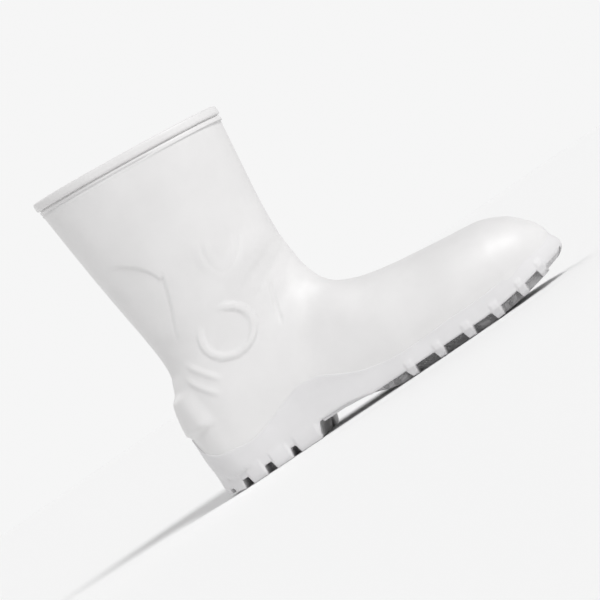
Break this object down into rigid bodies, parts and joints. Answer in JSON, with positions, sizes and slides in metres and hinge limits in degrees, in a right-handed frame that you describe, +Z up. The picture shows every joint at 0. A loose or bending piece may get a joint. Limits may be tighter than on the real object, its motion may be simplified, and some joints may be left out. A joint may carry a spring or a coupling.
{
  "type": "safety boot",
  "caption": "Short moulded rubber safety boot for the left foot: a hollow shaft and foot, a broad protective toe, and a deep-lugged outsole with a separate heel.",
  "frame": {"origin": "middle of the footprint's bounding box, on the floor the boot stands on", "axes": "+X from heel to toe, +Y to the outer (lateral) side, +Z up the shaft"},
  "size_m": [0.3058, 0.1138, 0.256],
  "materials": {
    "upper_rubber": "satin moulded",
    "sole_rubber": "satin moulded, textured between the lugs",
    "insole_fabric": "brushed, matt"
  },
  "bodies": {
    "root": {"upper": "upper_rubber", "outsole": "sole_rubber", "insole": "insole_fabric"}
  },
  "joints": []
}
